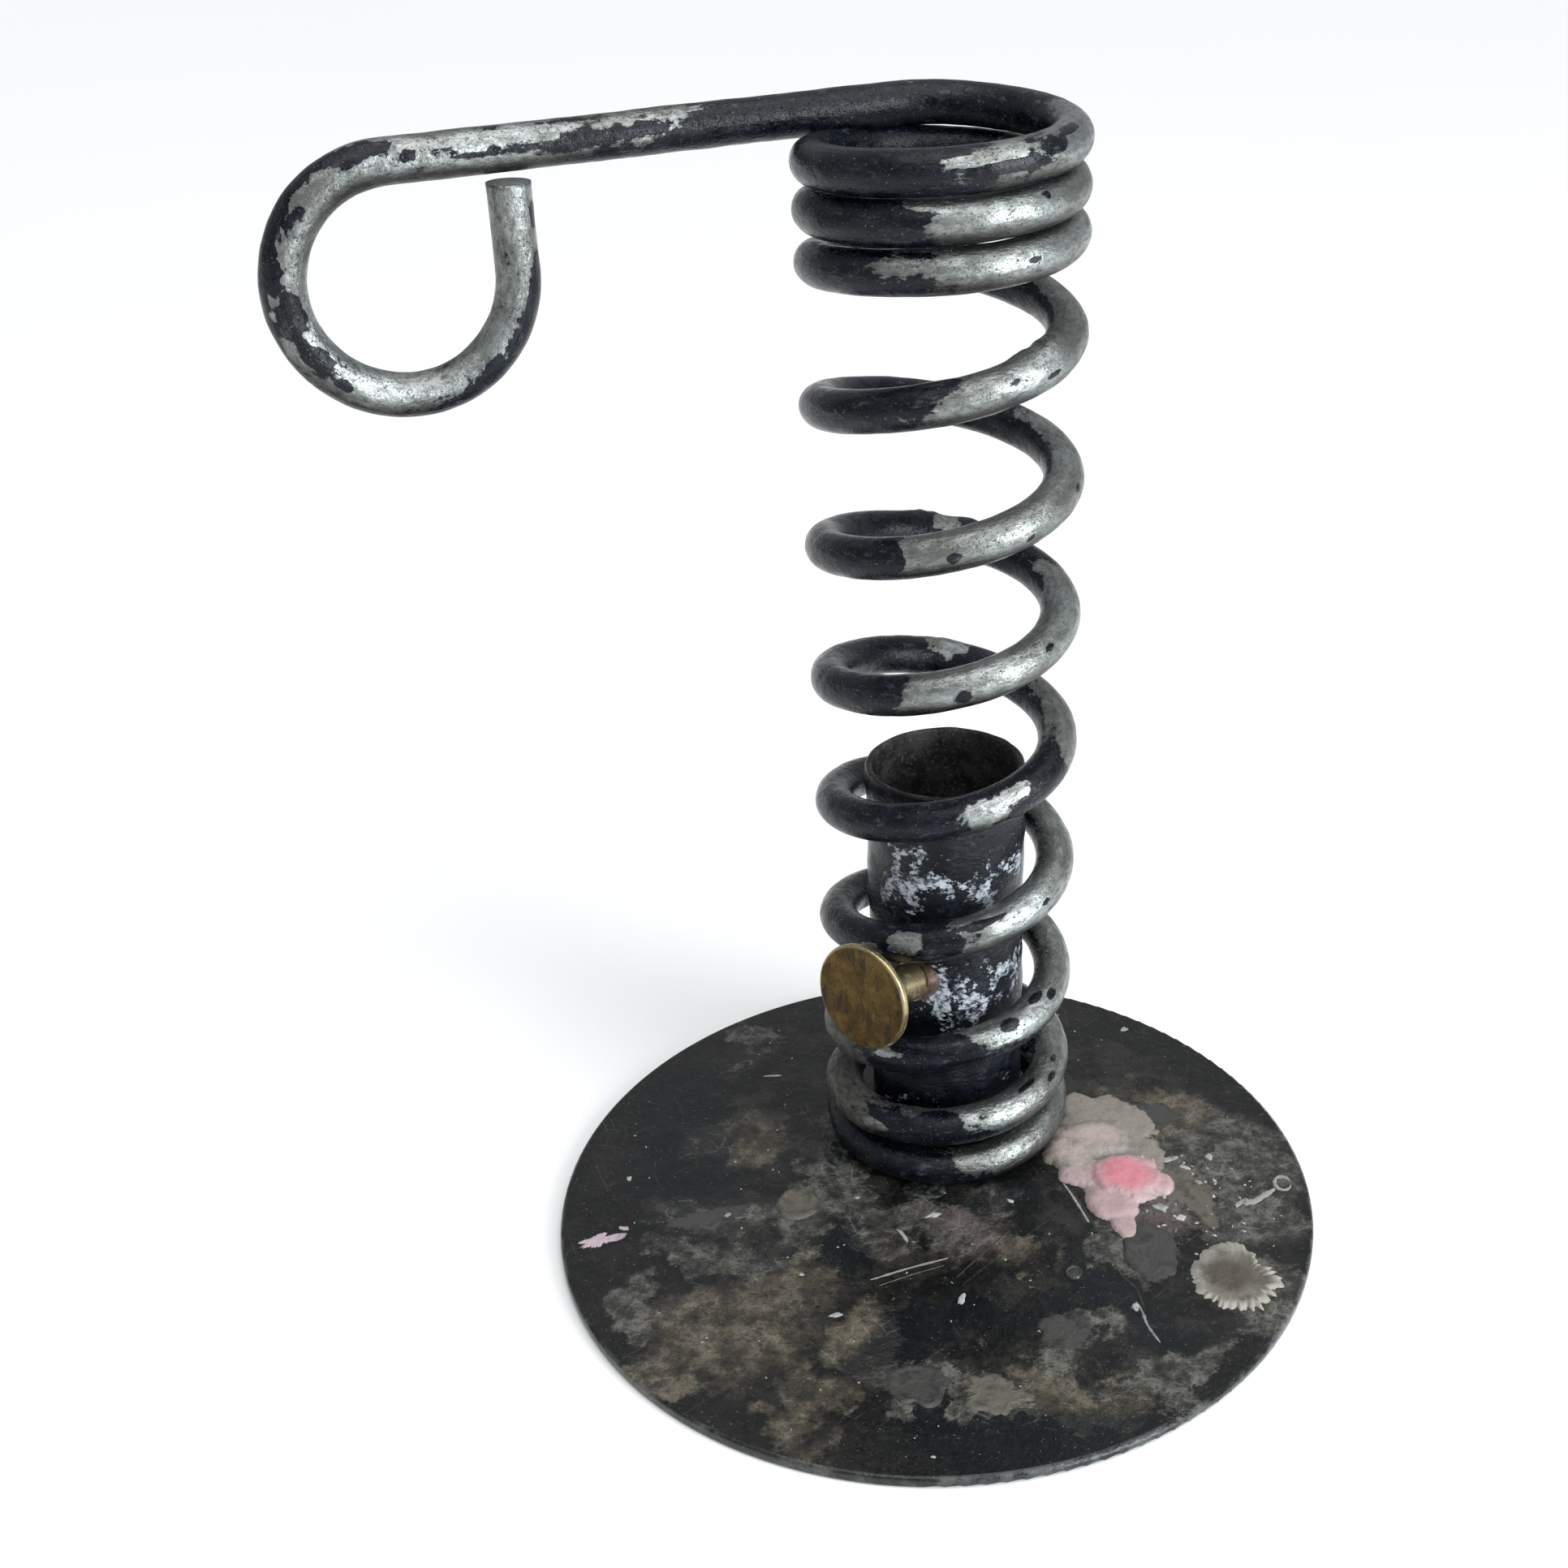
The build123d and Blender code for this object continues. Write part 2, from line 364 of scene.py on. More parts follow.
DARKS = [
    (-15, -14.6, 7, 6, 10), (2, -29.5, 12, 5.4, 6), (11, -55, 22, 6.6, 0), (24, -22, 4, 8, 20),
    (-6, -37, 5, 6, 30), (-43, 12, 9, 22, 0), (10, -3.5, 7, 4, 0), (33, -33, 6, 6, 0),
    (28, -8, 2.4, 6, 25),
]
PINKS = [(4, -10, 8, 8, 0), (34, -2, 9, 8, 0)]


def stain_mask(n, stains, wobble_x, wobble_y, soft):
    """1 inside the union of the stains, with a ragged edge."""
    xyz = n.tree.nodes.new("ShaderNodeSeparateXYZ")
    n.put(xyz.inputs[0], n.coord)
    px = n.plus(xyz.outputs[0], wobble_x)
    py = n.plus(xyz.outputs[1], wobble_y)
    total = None
    for x, y, rx, ry, turn in stains:
        a = math.radians(turn)
        dx = n.minus(px, x * MM)
        dy = n.minus(py, y * MM)
        u = n.plus(n.times(dx, math.cos(a)), n.times(dy, math.sin(a)))
        v = n.minus(n.times(dy, math.cos(a)), n.times(dx, math.sin(a)))
        u = n.math("POWER", n.math("DIVIDE", u, rx * MM), 2.0)
        v = n.math("POWER", n.math("DIVIDE", v, ry * MM), 2.0)
        one = n.ramp(n.math("SQRT", n.plus(u, v)), 1.0 - soft, 1.0 + soft, 1.0, 0.0)
        total = one if total is None else n.math("MAXIMUM", total, one)
    return total


def plate_material():
    """Black lacquer under thin brown and grey films of wax, rust stains and dust, with a rubbed rim that
    also carries a painted highlight.
    """
    n = Nodes("lacquered_plate")

    def wobble(scale, amount, offset):
        swing = n.minus(n.noise(scale, 5, 0.62, offset), 0.5)
        return n.times(swing, amount)

    wx = n.plus(wobble(95, 0.030, (0.1, 0, 0)), wobble(520, 0.007, (0.5, 0, 0)))
    wy = n.plus(wobble(95, 0.030, (0, 0.7, 0)), wobble(520, 0.007, (0, 0.2, 0)))
    film = stain_mask(n, FILMS, wx, wy, 0.20)
    rust = stain_mask(n, RUSTS, wy, wx, 0.32)
    dark = stain_mask(n, DARKS, wx, wy, 0.25)
    pink = stain_mask(n, PINKS, wx, wy, 0.35)
    patch = n.noise(210, 6, 0.68, (0.3, 0.3, 0))
    grain = n.noise(1200, 4, 0.65, (0.8, 0.1, 0))
    mottled = n.noise(430, 6, 0.72, (0.2, 0.9, 0))
    lacquer = n.mix(n.ramp(grain, 0.4, 0.7), rgb(0.0045, 0.0046, 0.0046), rgb(0.0100, 0.0100, 0.0098))
    thin = n.ramp(n.noise(150, 6, 0.66, (0.6, 0.2, 0)), 0.45, 0.62)
    from_axis = n.vector("LENGTH", n.coord, output=1)
    inner = n.ramp(from_axis, 0.046, 0.058, 1.0, 0.30)
    thin = n.times(thin, inner)
    color = n.mix(n.times(thin, 0.60), lacquer, rgb(0.034, 0.032, 0.028))
    film_amount = n.times(film, n.ramp(patch, 0.36, 0.56, 0.30, 1.0))
    film_color = n.mix(n.ramp(mottled, 0.36, 0.66), rgb(0.022, 0.022, 0.018), rgb(0.150, 0.146, 0.130))
    color = n.mix(n.times(film_amount, 0.82), color, film_color)
    rust_amount = n.times(rust, n.ramp(mottled, 0.32, 0.60, 0.25, 1.0))
    rust_color = n.mix(n.ramp(patch, 0.38, 0.62), rgb(0.040, 0.032, 0.021), rgb(0.150, 0.128, 0.090))
    color = n.mix(n.times(rust_amount, 0.8), color, rust_color)
    dull = n.math("MAXIMUM", film_amount, rust_amount)
    pink_amount = n.times(pink, n.ramp(patch, 0.4, 0.65, 0.15, 0.75))
    color = n.mix(pink_amount, color, rgb(0.115, 0.088, 0.086))
    dark_amount = n.times(dark, n.ramp(mottled, 0.30, 0.52, 0.35, 1.0))
    color = n.mix(n.times(dark_amount, 0.86), color, rgb(0.0035, 0.0060, 0.0075))
    crack = n.ramp(n.cells(300, (0.05, 0.02, 0.0)), 0.01, 0.05, 1.0, 0.0)
    crack = n.times(crack, n.times(dull, n.ramp(patch, 0.46, 0.56)))
    color = n.mix(n.times(crack, 0.45), color, rgb(0.190, 0.180, 0.160))
    pores = n.ramp(n.noise(1500, 3, 0.6, (0.1, 0.4, 0.3)), 0.58, 0.66)
    color = n.mix(n.times(pores, 0.6), color, rgb(0.006, 0.006, 0.006))
    straight = n.coord
    marks = None
    for angle in (0.30, 1.15, -0.75):
        n.coord = n.turned(straight, angle)
        line = n.ramp(n.noise(60, 3, 0.5, (angle, 0.3, 0), (1, 30, 1)), 0.66, 0.70)
        marks = line if marks is None else n.math("MAXIMUM", marks, line)
    n.coord = straight
    marks = n.times(marks, n.ramp(patch, 0.44, 0.58, 0.0, 0.16))
    color = n.mix(marks, color, rgb(0.150, 0.148, 0.140))
    # A lighter grey ring at the plate's rim, broken up by noise: rubbed edge, and a painted highlight along
    # it
    rim_wear_and_highlight = n.ramp(from_axis, PLATE_R - 0.7 * MM, PLATE_R - 0.2 * MM)
    rim_wear_and_highlight = n.times(rim_wear_and_highlight, n.ramp(n.noise(230, 5, 0.66, (0.2, 0.6, 0)), 0.44, 0.60))
    color = n.mix(n.times(rim_wear_and_highlight, 0.35), color, rgb(0.150, 0.155, 0.155))
    dust = n.ramp(n.noise(2300, 2, 0.5, (0.4, 0.6, 0)), 0.70, 0.74)
    color = n.mix(n.times(dust, 0.5), color, rgb(0.22, 0.22, 0.21))
    rough = n.blend(dull, n.ramp(grain, 0.3, 0.7, 0.12, 0.24), n.ramp(mottled, 0.3, 0.7, 0.20, 0.42))
    rough = n.blend(n.times(thin, 0.6), rough, 0.3)
    height = n.plus(n.times(film_amount, 0.5), n.times(mottled, 0.4))
    height = n.plus(height, n.times(rust_amount, 0.3))
    height = n.plus(height, n.times(patch, 0.9))
    return n.finish(color, rough, 0.0, n.bump(height, 0.00034), Specular_IOR_Level=0.40)


def cup_material():
    """Thick black paint with pale broken flakes outside, soot and crumbs inside."""
    n = Nodes("sooty_cup")
    inside, flaky = n.attribute("inside"), n.attribute("flaky")
    coarse = n.noise(240, 5, 0.65, (0.4, 0.1, 0.3))
    crisp = n.noise(900, 5, 0.70, (0.1, 0.5, 0.2), (1, 1, 1.5))
    shard = n.noise(760, 5, 0.72, (0.7, 0.2, 0.6), (1, 1, 1.4))
    cell = n.cells(190, (0.013, 0.002, 0.011), (1, 1, 0.75))
    frame_line = n.ramp(cell, 0.03, 0.24, 1.0, 0.0)
    broken = n.plus(n.times(crisp, 0.55), n.times(coarse, 0.45))
    amount = n.plus(flaky, n.times(frame_line, 0.09))
    chip = n.minus(amount, broken)
    pale = n.ramp(chip, -0.010, 0.030)
    black = n.mix(n.ramp(coarse, 0.4, 0.65), rgb(0.0008, 0.0016, 0.0042), rgb(0.0060, 0.0085, 0.0150))
    flake_color = n.mix(n.ramp(shard, 0.44, 0.60), rgb(0.520, 0.560, 0.620), rgb(0.040, 0.048, 0.064))
    color = n.mix(pale, black, flake_color)
    bare = n.ramp(n.noise(420, 4, 0.6, (0.6, 0.9, 0.1)), 0.60, 0.66)
    color = n.mix(n.times(bare, 0.30), color, rgb(0.060, 0.063, 0.058))
    soot = n.mix(n.ramp(coarse, 0.38, 0.66), rgb(0.0150, 0.0142, 0.0155), rgb(0.075, 0.068, 0.068))
    tan = n.ramp(n.noise(300, 4, 0.6, (0.9, 0.3, 0.5)), 0.60, 0.70)
    soot = n.mix(n.times(tan, 0.55), soot, rgb(0.075, 0.060, 0.047))
    dots = n.ramp(n.noise(1900, 4, 0.66, (0.2, 0.2, 0.8)), 0.56, 0.66)
    soot = n.mix(n.times(dots, 0.65), soot, rgb(0.230, 0.208, 0.195))
    color = n.mix(inside, color, soot)
    rough = n.blend(pale, n.ramp(crisp, 0.3, 0.7, 0.10, 0.26), 0.34)
    rough = n.blend(inside, rough, 0.55)
    height = n.plus(n.times(pale, 0.9), n.times(crisp, 0.8))
    height = n.plus(height, n.times(coarse, 1.2))
    return n.finish(color, rough, 0.0, n.bump(height, 0.00032), Specular_IOR_Level=0.32)


def brass_material():
    """Tarnished brass with dark streaks; the neck is rubbed bright, and the head's rim is rubbed bright with
    a painted highlight along it.
    """
    n = Nodes("aged_brass")
    streak = n.noise(620, 5, 0.68, (0.3, 0.1, 0.2), (1, 1, 0.35))
    blot = n.noise(300, 5, 0.64, (0.2, 0.4, 0.1))
    fine = n.noise(2600, 4, 0.66, (0.5, 0.2, 0.7))
    from_head = n.vector("SUBTRACT", n.coord, HEAD_CENTRE)
    behind = n.times(n.vector("DOT_PRODUCT", from_head, HEAD_AXIS, 1), -1.0)
    reach = n.vector("LENGTH", from_head, output=1)
    # The head's rim: rubbed brass with a painted highlight, a bright band near its edge
    rim = n.ramp(reach, HEAD_R - 0.55 * MM, HEAD_R - 0.15 * MM)
    rim = n.times(rim, n.ramp(blot, 0.30, 0.52, 0.4, 1.0))
    neck = n.ramp(behind, 1.4 * MM, 2.2 * MM)
    rubbed_and_highlight = n.math("MAXIMUM", rim, n.times(neck, n.ramp(blot, 0.36, 0.60, 1.0, 0.35)))
    color = n.mix(n.ramp(blot, 0.38, 0.64), rgb(0.058, 0.035, 0.0095), rgb(0.112, 0.070, 0.020))
    color = n.mix(n.ramp(streak, 0.52, 0.64, 0.0, 0.85), color, rgb(0.012, 0.007, 0.003))
    color = n.mix(n.ramp(fine, 0.56, 0.66, 0.0, 0.7), color, rgb(0.012, 0.007, 0.003))
    color = n.mix(rubbed_and_highlight, color, rgb(0.42, 0.35, 0.20))
    rough = n.blend(rubbed_and_highlight, n.ramp(streak, 0.3, 0.7, 0.26, 0.46), 0.24)
    height = n.plus(n.times(streak, 0.5), n.times(fine, 0.4))
    height = n.plus(height, n.times(blot, 0.8))
    metal = n.blend(n.ramp(streak, 0.52, 0.7), 0.90, 0.45)
    return n.finish(color, rough, metal, n.bump(height, 0.00010))


def copper_material():
    n = Nodes("copper")
    blot = n.noise(900, 4, 0.6)
    color = n.mix(n.ramp(blot, 0.4, 0.62), rgb(0.34, 0.25, 0.215), rgb(0.14, 0.085, 0.062))
    return n.finish(color, n.ramp(blot, 0.3, 0.7, 0.25, 0.42), 0.9, n.bump(blot, 0.00006))


def weld_material(name):
    n = Nodes(name)
    lump = n.noise(700, 4, 0.6)
    tone = n.noise(1400, 4, 0.65, (0.3, 0, 0))
    color = n.mix(n.ramp(tone, 0.45, 0.62), rgb(0.005, 0.006, 0.007), rgb(0.026, 0.028, 0.026))
    return n.finish(color, n.ramp(tone, 0.3, 0.7, 0.3, 0.5), 0.2, n.bump(lump, 0.0003))


def wax_material(name, light, deep, rough=0.30, weight=0.35, vein=0.45, border=0.35):
    """Old candle wax: mottled, with dirt in its hollows and a deeper colour where it is thick."""
    n = Nodes(name)
    tone = n.noise(330, 6, 0.68, (0.2, 0.3, 0.4))
    fine = n.noise(1500, 4, 0.6, (0.6, 0.1, 0.2))
    thick, edge = n.attribute("thick"), n.attribute("edge")
    color = n.mix(thick, rgb(*light), rgb(*deep))
    dirt = rgb(*[c * 0.30 for c in light])
    color = n.mix(n.ramp(tone, 0.50, 0.66, 0.0, vein), color, dirt)
    color = n.mix(n.times(edge, 0.60), color, rgb(*[c * border for c in light]))
    height = n.plus(n.times(tone, 0.8), n.times(fine, 0.12))
    shine = n.ramp(fine, 0.3, 0.7, rough - 0.08, rough + 0.12)
    mat = n.finish(color, shine, 0.0, n.bump(height, 0.0004), Subsurface_Weight=weight, Subsurface_Scale=0.5)
    n.bsdf.inputs["Subsurface Radius"].default_value = (0.0024, 0.0013, 0.0010)
    return mat


# ---- the rod ----
# For each turn from the foot up: the azimuth in degrees, seen from the coil's axis, where black paint
# gives way to bare metal (the front is -90, the right side 0), how far it takes to do so, and how much
# further round the metal shows on the rod's upper side.
BARE_FROM = [
    (-76, 26, 16), (-82, 36, 38), (-78, 36, 34), (-97, 26, 0), (-30, 40, 0), (-112, 7, 0), (-112, 8, 0),
    (-106, 36, 0), (-108, 38, 10), (-100, 34, 0), (-70, 44, 6),
]
BARE_LEVEL = 0.355         # how likely paint is, against noise around 0.5
BLACK_LEVEL = 0.655
CHIP_DROP = 0.42           # how far a chip lowers the level, and a dot raises it
DOT_RISE = 0.52
HOOK_FROM = 66             # mm along the arm; patches before it are faint, after it strong
FAINT_RISE = 0.17
STRONG_RISE = 0.33
PAINT_COAT = 0.05 * MM
ROWS_PER_TURN = 200

# Lumps of old solder and wax: turn, angle round the rod (0 outwards, 90 up), length and height in mm
LUMPS = [
    (7.15, 100, 5.5, 0.75), (7.11, 130, 3.0, 0.5), (5.53, 80, 4.0, 0.65), (5.47, 60, 3.0, 0.5),
    (4.5, 80, 5.0, 0.35), (2.93, 20, 4.0, 0.35), (1.9, 60, 5.0, 0.45), (1.15, 40, 6.0, 0.40),
    (0.75, 50, 6.0, 0.45), (0.95, 80, 4.0, 0.35),
]
# Spots of black paint on the bare metal: turn, angle round the rod, half length and half width in mm
DOTS = [
    (5.02, -6, 0.8, 0.8), (5.94, 10, 1.5, 1.4), (6.01, 0, 0.7, 0.6), (2.09, 60, 1.5, 0.9),
    (2.15, 80, 1.4, 0.6), (2.17, 50, 1.0, 0.5), (1.99, 60, 3.4, 1.3), (0.99, 52, 2.6, 1.7),
    (3.05, 55, 3.0, 0.45), (3.00, 10, 1.8, 1.4), (1.13, 78, 1.4, 0.35), (1.17, 45, 1.0, 0.4),
    (1.20, 70, 0.8, 0.4), (4.12, 10, 1.2, 1.0), (6.20, 20, 0.6, 0.4), (10.07, 5, 4.0, 0.5),
    (10.13, 35, 1.6, 0.8), (10.17, 62, 2.0, 0.5), (8.10, 10, 0.8, 0.35), (9.12, 40, 0.7, 0.3),
    (7.13, 0, 1.0, 0.3), (7.08, 20, 0.5, 0.3), (6.10, -10, 0.5, 0.3), (5.14, 30, 0.6, 0.3),
    (3.14, 20, 0.6, 0.3),
]
# Bare patches in the black paint, the same way
CHIPS = [
    (4.05, 20, 2.8, 1.7), (4.09, 45, 2.6, 1.1), (4.04, -45, 4.2, 1.0), (9.36, 130, 4.5, 3.0),
    (9.28, 100, 5.1, 3.4), (2.95, 35, 2.4, 1.5), (2.90, 0, 1.6, 1.1), (4.50, 100, 3.3, 2.2),
    (5.50, 110, 2.4, 1.6), (4.22, 30, 3.0, 2.0), (3.70, 40, 2.2, 1.5), (10.03, 30, 2.6, 0.6),
    (1.92, 30, 2.2, 0.6), (0.90, 10, 1.8, 0.9),
]
# Black patches on the arm and hook: distance from the coil in mm, angle round the rod, half length and
# half width in mm
ARM_PATCHES = [
    (74, 130, 3.4, 1.3), (82, 100, 5.0, 1.6), (89, 112, 5.5, 1.7), (84.5, 160, 1.5, 1.0),
    (96, 100, 6.0, 1.2), (97, 170, 2.6, 1.7), (103, 180, 2.0, 1.3), (108, 175, 1.0, 0.6),
    (115, 110, 9.0, 1.5), (123, 140, 3.0, 1.0), (128, 160, 2.5, 1.2), (133, 135, 7.0, 2.0),
    (139, 115, 5.0, 1.7), (68, 160, 1.0, 0.6), (63.5, 162, 1.6, 0.5), (57, 105, 2.0, 0.5),
    (60, 180, 3.0, 0.5), (50, 178, 7.0, 0.7), (43, 170, 5.0, 0.8), (150, 120, 1.5, 1.2),
    (36, 160, 5.0, 0.7), (30, 190, 4.0, 0.8), (24, 150, 4.0, 0.8), (47, 110, 4.0, 0.5),
    (92, 150, 1.6, 0.7),
]


def coil_samples():
    count = int((ARM_TURN - FOOT_START) * ROWS_PER_TURN)
    for i in range(count + 1):
        turn = FOOT_START + (ARM_TURN - FOOT_START) * i / count
        yield coil_point(turn), turn, None


def arm_samples(step=0.55 * MM):
    start = math.pi / 2 - ARM_FALL
    arm_end = hook_point(start)
    arm = (arm_end - ARM_START).length
    bend = (start + math.pi) * HOOK_R
    for i in range(1, int(arm / step) + 1):
        t = i / int(arm / step)
        yield ARM_START.lerp(arm_end, t), None, arm * t
    for i in range(1, int(bend / step) + 1):
        t = i / int(bend / step)
        yield hook_point(start - (start + math.pi) * t), None, arm + bend * t
    for i in range(1, int(HOOK_LEG / step) + 1):
        t = i / int(HOOK_LEG / step)
        yield hook_point(-math.pi) + UP * HOOK_LEG * t, None, arm + bend + HOOK_LEG * t


def across(angle, middle):
    """Distance round the rod in mm between two angles in degrees."""
    return ((angle - middle + 180) % 360 - 180) * math.radians(ROD_R / MM)


def spot(along, angle, half_length, half_width, wobble):
    """1 within an uneven oval on the rod's surface, 0 outside it."""
    reach = math.hypot(along / half_length, angle / half_width) + wobble
    return 1 - smooth(reach, 0.35, 1.65)


def coil_paint(point, normal, turn, angle):
    """How likely black paint is at this place on the coil."""
    wob = noise.noise(point * 90) * 0.5 + noise.noise(point * 260 + Vector((7, 3, 1))) * 0.3
    rag = noise.noise(point * 700) * 0.40 + noise.noise(point * 1600) * 0.35
    azimuth = math.degrees(math.atan2(point.y - AXIS.y, point.x - AXIS.x))
    index = min(max(round(turn - (azimuth + 90) / 360), 0), len(BARE_FROM) - 1)
    start, soft, above = BARE_FROM[index]
    start += wob * soft - above * normal.z
    left = smooth(start - azimuth, -soft, soft * 0.5) if azimuth < 90 else 1.0
    back = smooth(azimuth, 8 + wob * 40, 60 + wob * 40)
    inward = -(normal.x * math.cos(math.radians(azimuth)) + normal.y * math.sin(math.radians(azimuth)))
    shade = max(left, back, smooth(inward, 0.3, 0.95) * 0.85, smooth(-normal.z, 0.62, 0.98) * 0.75)
    level = BARE_LEVEL + (BLACK_LEVEL - BARE_LEVEL) * shade + wob * 0.11
    turn_mm = 2 * math.pi * COIL_R / MM
    for place, middle, half_length, half_width in CHIPS:
        along = (turn - place) * turn_mm
        level -= CHIP_DROP * spot(along, across(angle, middle), half_length, half_width, rag)
    for place, middle, half_length, half_width in DOTS:
        along = (turn - place) * turn_mm
        level += DOT_RISE * spot(along, across(angle, middle), half_length, half_width, rag * 0.25)
    return level


def arm_paint(point, normal, along, angle):
    """The same for the arm and hook."""
    wob = noise.noise(point * 90) * 0.5 + noise.noise(point * 260 + Vector((7, 3, 1))) * 0.3
    rag = noise.noise(point * 520) * 0.50 + noise.noise(point * 1500) * 0.40
    near_coil = 1 - smooth(along, 14 * MM, 52 * MM)
    middle_band = 1 - smooth(abs(across(angle, 135)), 0.8, 2.6)
    under = smooth(-normal.z, 0.35, 0.9)
    level = 0.408 + 0.255 * near_coil + 0.08 * under + wob * 0.13
    level -= 0.13 * middle_band * smooth(along, 18 * MM, 34 * MM) * near_coil
    for place, middle, half_length, half_width in ARM_PATCHES:
        rise = STRONG_RISE if place > HOOK_FROM else FAINT_RISE
        level += rise * spot(along / MM - place, across(angle, middle), half_length, half_width, rag)
    return level


def grime(turn):
    """How much dull wax and dirt lies on the lowest turns."""
    left = 1 - smooth(abs((turn % 1.0) - 0.75), 0.03, 0.25)
    right = 1 - smooth(abs((turn % 1.0) - 0.22), 0.06, 0.18)
    low = (1 - smooth(turn, 2.0, 2.4)) * smooth(turn, 0.3, 0.5)
    return (0.52 * left + 0.41 * right) * low + 0.40 * (1 - smooth(turn, 3.2, 4.0)) * left


def lump_height(turn, angle, base):
    height = 0.0
    for place, middle, length, tall in LUMPS:
        along = (turn - place) * 2 * math.pi * COIL_R / MM
        if abs(along) < 2 * length:
            swell = math.exp(-(along / length * 1.8) ** 2 - (across(angle, middle) / 2.0) ** 2)
            height += swell * tall * MM * (0.75 + 0.5 * noise.noise(base * 900))
    return height


def make_rod(material):
    samples = list(coil_samples()) + list(arm_samples())
    points = [point for point, turn, along in samples]
    around = 32
    verts, paint, wax, low, wire = [], [], [], [], []
    side = None
    run = 0.0
    for i, (point, turn, along) in enumerate(samples):
        ahead = points[min(i + 1, len(points) - 1)]
        behind = points[max(i - 1, 0)]
        tangent = (ahead - behind).normalized()
        run += (point - behind).length
        if along is None:
            side = Vector((point.x - AXIS.x, point.y - AXIS.y, 0))
        side = (side - tangent * side.dot(tangent)).normalized()
        over = side.cross(tangent).normalized()
        for k in range(around):
            a = 2 * math.pi * k / around
            angle = math.degrees(a)
            normal = side * math.cos(a) + over * math.sin(a)
            base = point + normal * ROD_R
            r = ROD_R + noise.noise(base * 130) * 0.10 * MM + noise.noise(base * 420) * 0.05 * MM
            if along is None:
                level = coil_paint(base, normal, turn, angle)
                r += lump_height(turn, angle, base)
                coat = grime(turn)
            else:
                level = arm_paint(base, normal, along, angle)
                coat = 0.0
            r += PAINT_COAT * smooth(level, 0.48, 0.54)
            verts.append(point + normal * r)
            paint.append(level)
            wax.append(coat)
            # low: how far the surface faces down, with some noise; the material uses it for painted shade on
            # the bare metal's underside
            low.append(smooth(-normal.z + 0.25 * noise.noise(base * 200), -0.15, 0.75))
            wire.extend((run, ROD_R * math.cos(a), ROD_R * math.sin(a)))
    rows = len(samples)
    faces = band_faces(0, rows - 1, around)
    # the sawn ends, slightly domed
    for row, centre, out in ((0, points[0], points[0] - points[1]), (rows - 1, points[-1], UP)):
        middle = len(verts)
        verts.append(centre + out.normalized() * 0.1 * MM)
        paint.append(0.42)
        wax.append(0.0)
        low.append(0.3)
        wire.extend((0.0, 0.0, 0.0))
        for k in range(around):
            pair = (row * around + k, row * around + (k + 1) % around)
            faces.append((middle, *pair) if row == 0 else (middle, pair[1], pair[0]))
    rod = new_object("rod_worn", verts, faces, material, "root")
    rod.data.attributes.new("wire", "FLOAT_VECTOR", "POINT").data.foreach_set("vector", wire)
    set_values(rod, paint=paint, wax=wax, low=low)
    face_outwards(rod)
    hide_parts("spiral_rod")


# ---- the candle cup ----
def make_cup(material):
    """A tube with a worn, rounded rim, a little out of true, with wax and paint flaking off it."""
    height = cup_high.z - cup_low.z
    inner = CUP_R - CUP_WALL
    outline = [(inner, 0.0)]
    outline += [(inner, height * t) for t in np.linspace(0.02, 0.97, 60)]
    rim = CUP_WALL / 2
    for a in np.linspace(180, 0, 9):
        mid = inner + rim
        lean = math.radians(a)
        outline.append((mid + rim * math.cos(lean), height - rim + rim * math.sin(lean)))
    outline += [(CUP_R, height * t) for t in np.linspace(0.97, 0.0, 90)]
    around = 144
    verts, inside, flaky = [], [], []
    for r, z in outline:
        for k in range(around):
            a = 2 * math.pi * k / around
            p = Vector((AXIS.x + r * math.cos(a), AXIS.y + r * math.sin(a), cup_low.z + z))
            outer = smooth(r, inner + CUP_WALL * 0.4, inner + CUP_WALL * 0.9)
            dent = noise.noise(p * 130) * 0.15 * MM + noise.noise(p * 420) * 0.10 * MM
            dent += max(0.0, noise.noise(p * 210 + Vector((3, 1, 9)))) * 0.45 * MM
            out = Vector((math.cos(a), math.sin(a), 0))
            verts.append(p + out * dent * (outer if outer > 0.5 else -0.4))
            azimuth = math.degrees(a) if a < math.pi else math.degrees(a) - 360
            inside.append(1 - outer)
            rise = z / height
            upper = math.exp(-((rise - 0.74) / 0.12) ** 2) * (1 - smooth(abs(azimuth + 75), 50, 85))
            lower = math.exp(-((rise - 0.44) / 0.10) ** 2) * (1 - smooth(abs(azimuth + 62), 30, 60))
            flaky.append(0.296 + 0.155 * max(upper, lower) + 0.12 * noise.noise(p * 150))
    faces = []
    rows = len(outline)
    for i in range(rows):
        j = (i + 1) % rows
        for k in range(around):
            q = (k + 1) % around
            faces.append((i * around + k, i * around + q, j * around + q, j * around + k))
    cup = new_object("cup_sooty", verts, faces, material, "cup")
    set_values(cup, inside=inside, flaky=flaky)
    face_outwards(cup)
    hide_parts("candle_cup")


# ---- the weld beads ----
def make_bead(node, material, seed):
    """A lumpy bead in the place of the plain one."""
    low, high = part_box(node)
    x, y = (low.x + high.x) / 2 / MM, (low.y + high.y) / 2 / MM
    rx, ry = (high.x - low.x) / 2 / MM, (high.y - low.y) / 2 / MM
    verts, faces = blob(x, y, rx, ry, 0, (high.z - PLATE_TOP) / MM * 0.8, seed, 0.12)[:2]
    bead = new_object(node + "_lumpy", verts, faces, material, "root")
    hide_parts(node)


